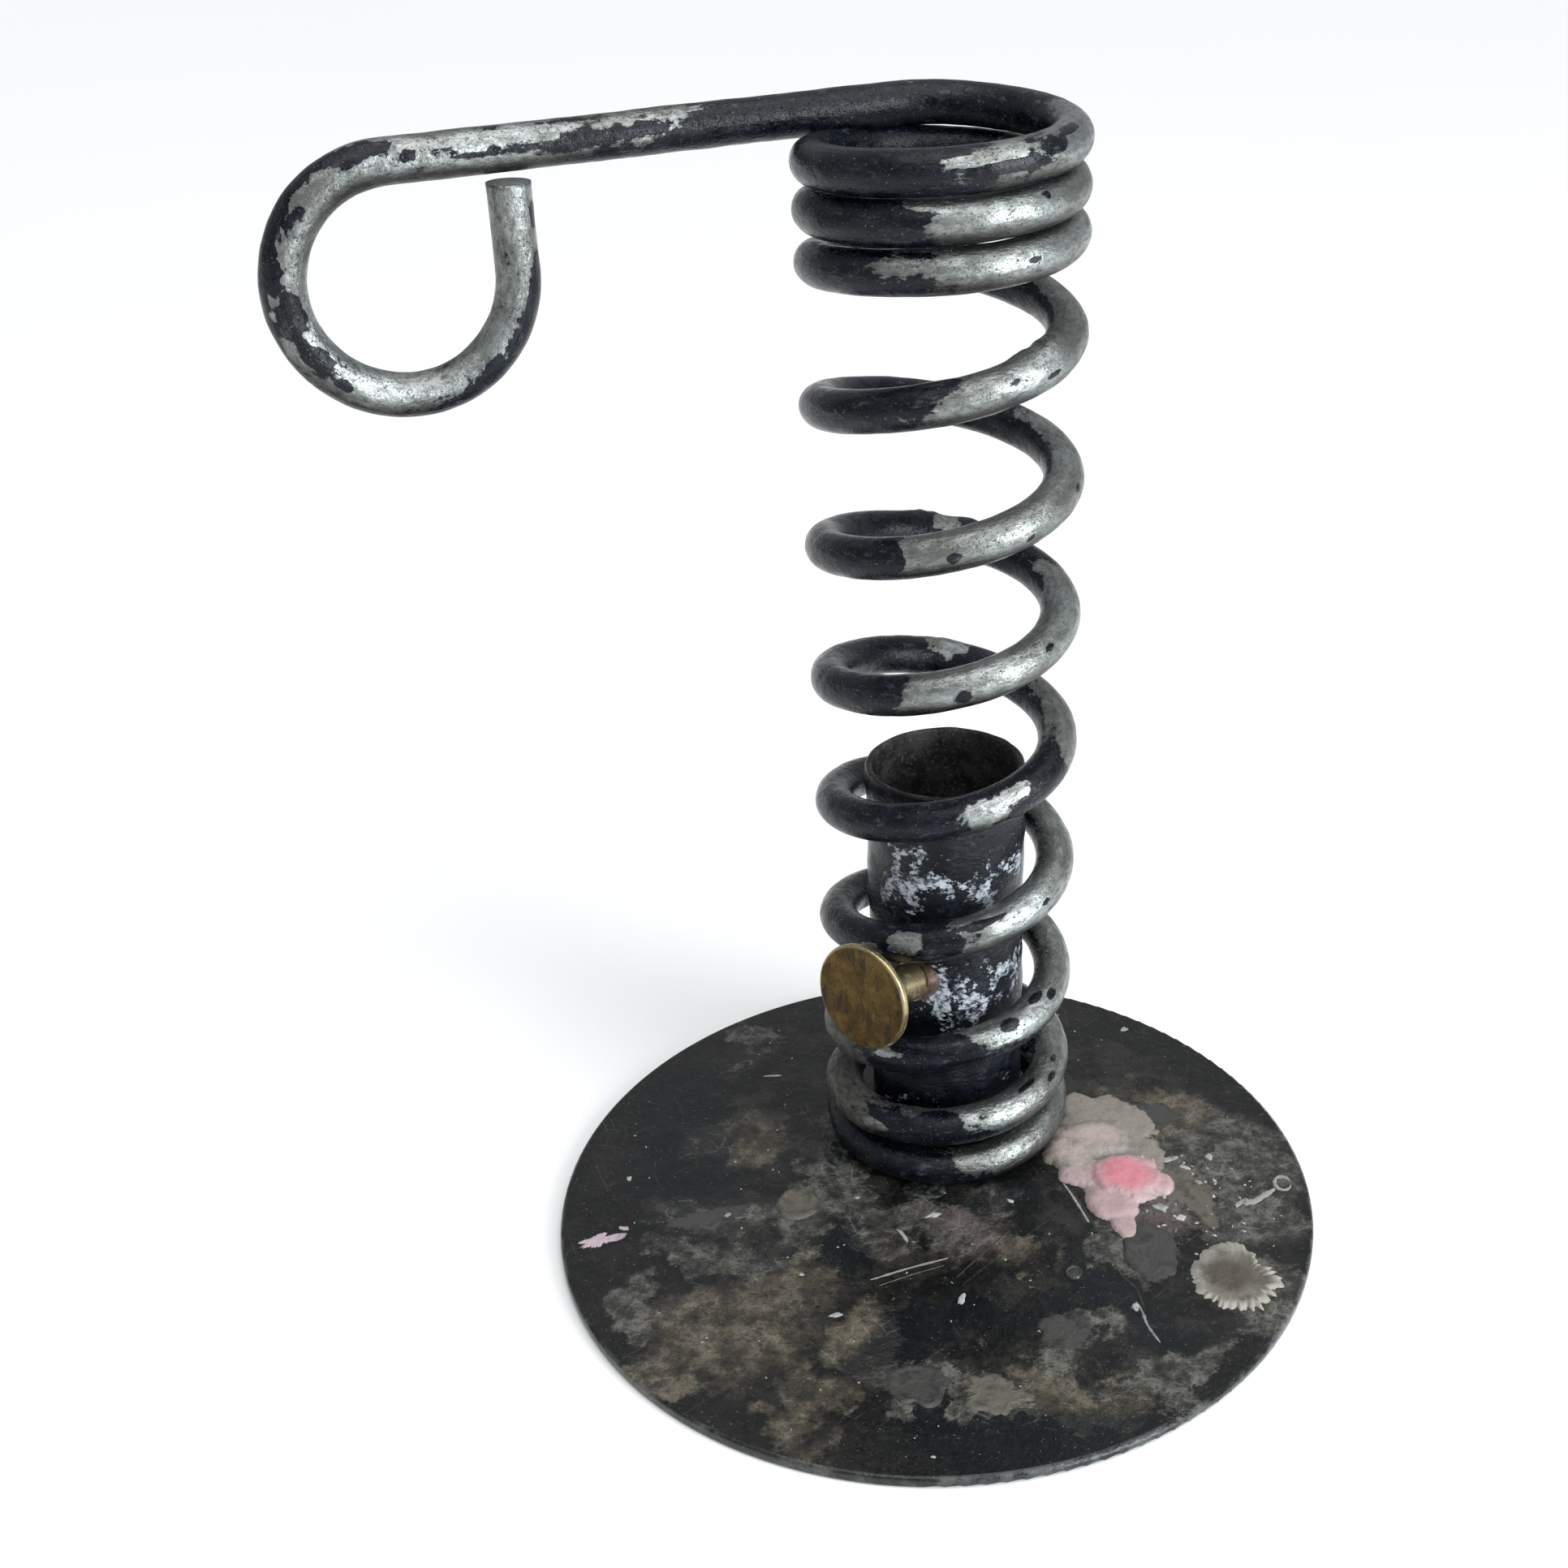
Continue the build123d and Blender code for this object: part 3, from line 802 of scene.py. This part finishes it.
# ---- wax on the plate ----
def blob(x, y, rx, ry, turn, height, seed, ragged,
         rim=0.0, fringe=0.0, around=72, rings=14, waves=6):
    """Vertices, faces and edge values of a hardened drop: an uneven outline with its skirt on the plate."""
    rng = random.Random(seed)
    swings = [(k, rng.uniform(0, 2 * math.pi), rng.uniform(0.4, 1.0) / k) for k in range(2, 2 + waves)]
    heading = math.radians(turn)
    verts, edge = [], []
    for i in range(rings + 1):
        t = i / rings
        for k in range(around):
            a = 2 * math.pi * k / around
            spin = Vector((math.cos(a), math.sin(a), 0))
            reach = 1 + ragged * sum(w * math.sin(j * a + phase) for j, phase, w in swings)
            reach += ragged * 0.5 * noise.noise(spin * 3 + Vector((0, 0, seed)))
            reach += ragged * 0.35 * noise.noise(spin * 10 + Vector((0, 0, seed + 5)))
            tooth = noise.noise(spin * 10 + Vector((0, 0, seed + 9)))
            reach += fringe * tooth * t * (0.5 + 0.5 * math.cos(a + 0.5))
            u = rx * t * reach * math.cos(a)
            v = ry * t * reach * math.sin(a)
            px = x + u * math.cos(heading) - v * math.sin(heading)
            py = y + u * math.sin(heading) + v * math.cos(heading)
            crown = math.sqrt(max(0.0, 1 - t ** 4))
            lip = rim * math.exp(-((t - 0.84) / 0.10) ** 2)
            swell = 0.70 + 0.60 * noise.noise(Vector((px * 0.35, py * 0.35, seed)))
            swell += 0.20 * noise.noise(Vector((px * 1.1, py * 1.1, seed)))
            z = height * crown * (max(swell, 0.12) + lip)
            sunk = 0.03 if i == rings else 0.0
            verts.append(Vector((px * MM, py * MM, PLATE_TOP + (z - sunk) * MM)))
            edge.append(smooth(t, 0.72 if fringe else 0.80, 1.0))
    faces = band_faces(1, rings, around)
    verts[0] = sum(verts[around:2 * around], Vector()) / around
    for k in range(around):
        faces.append((0, around + k, around + (k + 1) % around))
    return keep_used(verts, faces, edge)


def wax_patch(name, x, y, rx, ry, turn, height, material, seed, ragged,
              deep=0.0, rim=0.0, fringe=0.0):
    around = 220 if fringe else 72
    verts, faces, edge = blob(x, y, rx, ry, turn, height, seed, ragged, rim, fringe, around)
    centre = Vector((x * MM, y * MM, PLATE_TOP))
    thick = []
    for v in verts:
        t = (v - centre).length / (min(rx, ry) * MM)
        spread = 0.5 * noise.noise(v * 300 + Vector((0, 0, seed)))
        thick.append(max(0.0, min(1.0, deep * (1.15 - smooth(t, 0.1, 1.1)) + spread * deep)))
    patch = new_object(name, verts, faces, material, "root")
    set_values(patch, thick=thick, edge=edge)


def make_pool(name, lobes, material, seed, step=0.3):
    """One pool of wax: lobes run into each other, and the rim dips under the plate's surface."""
    left = min(x - 1.4 * max(rx, ry) for x, y, rx, ry, turn, tall, tint in lobes)
    right = max(x + 1.4 * max(rx, ry) for x, y, rx, ry, turn, tall, tint in lobes)
    near = min(y - 1.4 * max(rx, ry) for x, y, rx, ry, turn, tall, tint in lobes)
    far = max(y + 1.4 * max(rx, ry) for x, y, rx, ry, turn, tall, tint in lobes)
    columns, rows = int((right - left) / step), int((far - near) / step)
    verts, thick, edge = [], [], []
    for j in range(rows + 1):
        for i in range(columns + 1):
            px, py = left + i * step, near + j * step
            place = Vector((px, py, seed))
            wobble = 0.20 * noise.noise(place * 0.22) + 0.12 * noise.noise(place * 0.7)
            wobble += 0.05 * noise.noise(place * 2.1)
            best, tone = -0.4, 0.0
            for x, y, rx, ry, turn, tall, tint in lobes:
                a = math.radians(turn)
                u = ((px - x) * math.cos(a) + (py - y) * math.sin(a)) / rx
                v = ((py - y) * math.cos(a) - (px - x) * math.sin(a)) / ry
                inside = 1 - math.hypot(u, v) - wobble
                rise = tall * (1 - math.exp(-7 * inside)) if inside > 0 else 6 * tall * inside
                if rise > best:
                    best, tone = rise, tint * smooth(inside, 0.0, 0.7)
            best += 0.10 * noise.noise(place * 0.5) * smooth(best, 0.0, 0.4)
            verts.append(Vector((px * MM, py * MM, PLATE_TOP + max(best, -0.15) * MM)))
            thick.append(tone)
            edge.append(1 - smooth(best, 0.02, 0.22))
    faces = []
    for j in range(rows):
        for i in range(columns):
            a = j * (columns + 1) + i
            face = (a, a + 1, a + columns + 2, a + columns + 1)
            if max(verts[corner].z for corner in face) > PLATE_TOP - 0.05 * MM:
                faces.append(face)
    verts, faces, thick, edge = keep_used(verts, faces, thick, edge)
    pool = new_object(name, verts, faces, material, "root")
    set_values(pool, thick=thick, edge=edge)


def crumbs(name, places, material, seed):
    """Small drops and crumbs of wax, joined in one piece."""
    rng = random.Random(seed)
    verts, faces, edge, thick = [], [], [], []
    for number, (x, y, rx, ry) in enumerate(places):
        tall = 0.22 * min(rx, ry) + 0.07
        turn = rng.uniform(0, 180)
        part = blob(x, y, rx, ry, turn, tall, seed + number, 0.5, around=14, rings=4, waves=4)
        start = len(verts)
        verts += part[0]
        faces += [tuple(start + i for i in face) for face in part[1]]
        edge += [0.6 * value for value in part[2]]
        thick += [rng.uniform(0, 0.8)] * len(part[0])
    piece = new_object(name, verts, faces, material, "root")
    set_values(piece, thick=thick, edge=edge)


def curve_through(points, steps=10):
    """A smooth curve through the points, as a list of 2-D vectors."""
    route = []
    for i in range(len(points) - 1):
        before = Vector(points[max(i - 1, 0)])
        p0, p1 = Vector(points[i]), Vector(points[i + 1])
        after = Vector(points[min(i + 2, len(points) - 1)])
        leave, arrive = (p1 - before) / 2, (after - p0) / 2
        for k in range(steps):
            t = k / steps
            start = (2 * t**3 - 3 * t**2 + 1) * p0 + (t**3 - 2 * t**2 + t) * leave
            end = (3 * t**2 - 2 * t**3) * p1 + (t**3 - t**2) * arrive
            route.append(start + end)
    route.append(Vector(points[-1]))
    return route


def scratch(name, points, width, tall, material):
    """A thin raised run of wax along a scratch in the plate."""
    route = curve_through(points)
    verts, faces = [], []
    count = len(route)
    for i, p in enumerate(route):
        ahead = route[min(i + 1, count - 1)] - route[max(i - 1, 0)]
        across_it = Vector((-ahead.y, ahead.x)).normalized()
        half = width * (0.25 + 0.75 * math.sin(math.pi * i / (count - 1)) ** 0.5)
        half *= 0.6 + 1.1 * abs(noise.noise(Vector((p.x * 0.9, p.y * 0.9, 3.3))))
        for off, z in ((-half, -0.02), (0, tall), (half, -0.02)):
            q = p + across_it * off
            verts.append(Vector((q.x * MM, q.y * MM, PLATE_TOP + z * MM)))
    for i in range(count - 1):
        for k in range(2):
            a = i * 3 + k
            faces.append((a, a + 3, a + 4, a + 1))
    piece = new_object(name, verts, faces, material, "root")
    set_values(piece, thick=[0.0] * len(verts), edge=[0.3] * len(verts))


# Drops and flakes that can be told apart: x, y and half sizes in mm
DROPS = [
    (34.9, 44.8, 0.75, 0.75), (3.7, -25.9, 1.2, 0.6), (-15.4, -29.1, 1.1, 0.5), (-21.1, -20.1, 0.4, 0.4),
    (-0.6, -6.5, 1.4, 0.6), (-5.4, -11.3, 1.6, 0.45), (-51.0, 3.4, 0.7, 0.4), (-33.8, -6.0, 0.8, 0.5),
    (39.0, 7.1, 1.5, 0.8), (41.4, 4.9, 1.0, 0.7), (36.3, -5.1, 0.9, 1.3), (39.3, -7.7, 0.9, 0.8),
    (45.8, 7.6, 0.7, 0.8), (30.1, -28.0, 0.8, 0.7), (-0.8, -57.1, 0.35, 0.3), (43.2, 1.0, 0.6, 0.8),
    (12.0, -3.2, 0.6, 0.4), (-29.0, 31.5, 1.8, 0.25), (-13.0, -2.0, 0.4, 0.3),
]
DROPS_WITHIN = 58          # mm from the plate's centre
FINE_WITHIN = 56
LONG_SCRATCH = [
    (21.2, 1.9), (23.1, -3.0), (24.9, -8.3), (26.9, -14.3), (28.5, -20.6), (30.6, -24.1), (31.4, -29),
]

# The lobes of the two wax pools at the coil's foot: x, y, half sizes, turn, height, depth of colour
BEIGE_LOBES = [
    (28.5, 15.0, 8.2, 9.0, -35, 0.5, 0.15), (25.0, 20.5, 3.4, 5.0, 10, 0.5, 0.1),
    (34.0, 7.5, 4.2, 7.6, 12, 0.35, 0.0), (26.0, 12.2, 6.8, 5.2, -12, 1.2, 1.0),
    (22.6, 8.6, 4.4, 4.8, 10, 1.3, 0.9),
]
PINK_LOBES = [
    (25.5, 3.2, 5.8, 4.0, -20, 0.9, 0.0), (31.4, 1.9, 6.8, 6.0, -10, 1.5, 1.0),
    (28.4, -3.0, 4.2, 6.0, 20, 0.8, 0.1), (29.8, -8.2, 2.0, 4.4, 8, 0.5, 0.0),
    (36.0, 0.6, 3.6, 3.0, -20, 1.1, 0.3),
]


def make_wax():
    beige = wax_material("wax_beige", (0.230, 0.205, 0.180), (0.430, 0.345, 0.320), 0.24, vein=0.30)
    pink = wax_material("wax_pink", (0.400, 0.300, 0.300), (0.600, 0.215, 0.265), 0.24,
                        vein=0.22, border=0.6)
    pale = wax_material("wax_pale", (0.480, 0.380, 0.420), (0.55, 0.48, 0.50))
    grey = wax_material("wax_grey", (0.105, 0.098, 0.078), (0.150, 0.140, 0.115), 0.26, 0.15, 0.7)
    smoky = wax_material("wax_smoky", (0.048, 0.047, 0.044), (0.080, 0.077, 0.070), 0.24, 0.1, 0.6)
    white = wax_material("wax_white", (0.300, 0.298, 0.285), (0.46, 0.46, 0.45), 0.28, 0.2, 0.6)
    rosette = wax_material("wax_rosette", (0.220, 0.210, 0.180), (0.080, 0.068, 0.050), 0.24, 0.15,
                           vein=0.80, border=1.9)
    make_pool("wax_beige_pool", BEIGE_LOBES, beige, 11)
    make_pool("wax_pink_pool", PINK_LOBES, pink, 13)
    wax_patch("wax_smoky_tail", 33.6, -15.6, 4.4, 6.8, 4, 0.30, smoky, 15, 0.16)
    wax_patch("wax_pink_flake", -53.6, -11.8, 2.9, 1.5, 24, 0.30, pale, 16, 0.7)
    wax_patch("wax_pink_chip", -50.2, -9.0, 0.8, 0.5, 10, 0.20, pale, 17, 0.5)
    wax_patch("wax_round_pool", -22.6, -3.4, 3.5, 4.2, 0, 0.35, grey, 18, 0.10, rim=0.7)
    wax_patch("wax_rosette", 45.7, -21.6, 6.8, 7.0, 0, 0.50, rosette, 19, 0.20,
              deep=1.0, rim=0.6, fringe=0.30)
    wax_patch("wax_small_ring", 21.2, -20.3, 1.4, 1.5, 0, 0.22, smoky, 20, 0.08, rim=1.6)
    crust = [(48.4, -5.2), (49.6, -4.0), (51.6, -3.9), (53.2, -2.6), (55.4, -0.9)]
    scratch("wax_crust", crust, 0.85, 0.30, white)
    ring = [(57.0 + 1.3 * math.cos(k / 2), 0.6 + 1.7 * math.sin(k / 2)) for k in range(13)]
    scratch("wax_crust_ring", ring, 0.42, 0.25, white)
    wax_patch("wax_thin_left", -37.0, -6.6, 7.0, 2.0, 6, 0.10, smoky, 23, 0.6)
    wax_patch("wax_thin_front", 8.0, -45.5, 5.4, 3.0, -14, 0.25, grey, 24, 0.5, rim=0.6)
    wax_patch("wax_thin_middle", -3.0, -43.5, 4.4, 4.4, 0, 0.20, smoky, 25, 0.2, rim=1.0)
    wax_patch("wax_thin_centre", 19.0, -33.0, 4.4, 3.4, 20, 0.16, smoky, 26, 0.35)
    wax_patch("wax_right_film", 41.0, -1.0, 4.2, 6.5, 15, 0.18, grey, 27, 0.55)
    wax_patch("wax_behind_pool", 37.0, 18.5, 4.6, 4.2, 0, 0.16, smoky, 28, 0.5)
    add_drops(white)
    add_scratches(white, grey, smoky, rosette)


def add_drops(material):
    """The drops that can be told apart, with finer ones all over and more of them on the right."""
    drops = list(DROPS)
    rng = random.Random(5)
    for _ in range(90):
        a, r = rng.uniform(0, 2 * math.pi), FINE_WITHIN * math.sqrt(rng.uniform(0, 1))
        drops.append((r * math.cos(a), r * math.sin(a), rng.uniform(0.12, 0.28), rng.uniform(0.10, 0.18)))
    for _ in range(60):
        drops.append((rng.gauss(42, 6), rng.gauss(-4, 8), rng.uniform(0.15, 0.5), rng.uniform(0.12, 0.35)))
    kept = [drop for drop in drops if math.hypot(drop[0], drop[1]) < DROPS_WITHIN]
    crumbs("wax_crumbs", kept, material, 31)


def add_scratches(white, grey, smoky, rosette):
    scratch("scratch_long", LONG_SCRATCH, 0.20, 0.06, smoky)
    scratch("scratch_white", [(20.9, 1.2), (22.2, -2.0), (23.3, -5.2), (24.4, -8.6)], 0.34, 0.10, white)
    scratch("scratch_right", [(30.2, -26.8), (31.0, -29.2), (31.5, -32.0), (33.0, -35.6)], 0.30, 0.10, white)
    scratch("scratch_front", [(-10.4, -21.5), (-4.4, -18.9), (1.7, -16.7)], 0.32, 0.10, rosette)
    scratch("scratch_front_2", [(-9.0, -22.8), (-4.0, -20.4), (1.0, -18.4)], 0.14, 0.08, grey)
    scratch("crack_centre", [(2.9, -21.2), (7, -15.9), (11.7, -10.2)], 0.25, 0.05, smoky)


# ---- the candlestick ----
def assign(node, material):
    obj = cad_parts[node]
    obj.data.materials.clear()
    obj.data.materials.append(material)


def main():
    make_rod(rod_material())
    cup_mat = cup_material()
    make_cup(cup_mat)
    assign("base_plate", plate_material())
    assign("cup_floor", cup_mat)
    assign("knob", brass_material())
    assign("knob_collar", copper_material())
    weld = weld_material("weld")
    assign("knob_stud", weld_material("stud_steel"))
    make_bead("weld_bead_left", weld, 41)
    make_bead("weld_bead_front", weld, 42)
    make_wax()


# ---- floor, light and camera ----
CAMERA_HEIGHT = 0.2112
CAMERA_DISTANCE = 0.2531     # in front of the plate's centre
CAMERA_PITCH = math.radians(27.98)
CAMERA_ROLL = -0.0098
LENS = 44.91
SHIFT_X = -0.0948
SHIFT_Y = 0.002
FLOOR_REACH = 4.0            # metres, from the middle to each side
WORLD_LIGHT = 0.41
SKY_LIGHT = 2.1
WINDOW_LIGHT = 6.4


def make_stage():
    n = Nodes("floor_pale")
    tone = n.noise(3, 2, 0.5)
    material = n.finish(n.mix(tone, rgb(0.92, 0.92, 0.92), rgb(0.94, 0.94, 0.94)), 0.9)
    mesh = bpy.data.meshes.new("floor")
    corners = [(x * FLOOR_REACH, y * FLOOR_REACH, 0) for x, y in ((-1, -1), (1, -1), (1, 1), (-1, 1))]
    mesh.from_pydata(corners, [], [(0, 1, 2, 3)])
    mesh.materials.append(material)
    floor = bpy.data.objects.new("floor", mesh)
    bpy.context.collection.objects.link(floor)


def area_light(name, place, target, size, power, color):
    data = bpy.data.lights.new(name, "AREA")
    data.shape = "DISK"
    data.size = size
    data.energy = power
    data.color = color
    obj = bpy.data.objects.new(name, data)
    obj.location = place
    obj.rotation_euler = (Vector(target) - Vector(place)).to_track_quat("-Z", "Y").to_euler()
    bpy.context.collection.objects.link(obj)


def make_light():
    world = bpy.data.worlds.new("studio")
    world.use_nodes = True
    world.node_tree.nodes["Background"].inputs[0].default_value = (0.94, 0.97, 1.0, 1)
    world.node_tree.nodes["Background"].inputs[1].default_value = WORLD_LIGHT
    bpy.context.scene.world = world
    bpy.context.scene.view_settings.view_transform = "Standard"
    sun = bpy.data.lights.new("sky", "SUN")
    sun.energy = SKY_LIGHT
    sun.angle = math.radians(70)
    sky = bpy.data.objects.new("sky", sun)
    sky.rotation_euler = (math.radians(12), math.radians(10), 0)
    bpy.context.collection.objects.link(sky)
    area_light("window", (0.62, -0.42, 0.30), (0, 0.02, 0.09), 0.46, WINDOW_LIGHT, (0.92, 0.975, 1.0))


def make_camera():
    data = bpy.data.cameras.new("camera")
    data.sensor_width = 36.0
    data.lens = LENS
    data.shift_x = SHIFT_X
    data.shift_y = SHIFT_Y
    data.clip_start = 0.01
    cam = bpy.data.objects.new("camera", data)
    forward = Vector((0, math.cos(CAMERA_PITCH), -math.sin(CAMERA_PITCH)))
    right = Vector((1, 0, 0))
    up = right.cross(forward)
    rolled_right = right * math.cos(CAMERA_ROLL) + up * math.sin(CAMERA_ROLL)
    rolled_up = up * math.cos(CAMERA_ROLL) - right * math.sin(CAMERA_ROLL)
    axes = Matrix((rolled_right, rolled_up, -forward)).transposed().to_4x4()
    place = Vector((0, -CAMERA_DISTANCE, CAMERA_HEIGHT))
    cam.matrix_world = Matrix.Translation(place) @ axes
    bpy.context.collection.objects.link(cam)
    bpy.context.scene.camera = cam


main()
make_stage()
make_light()
make_camera()
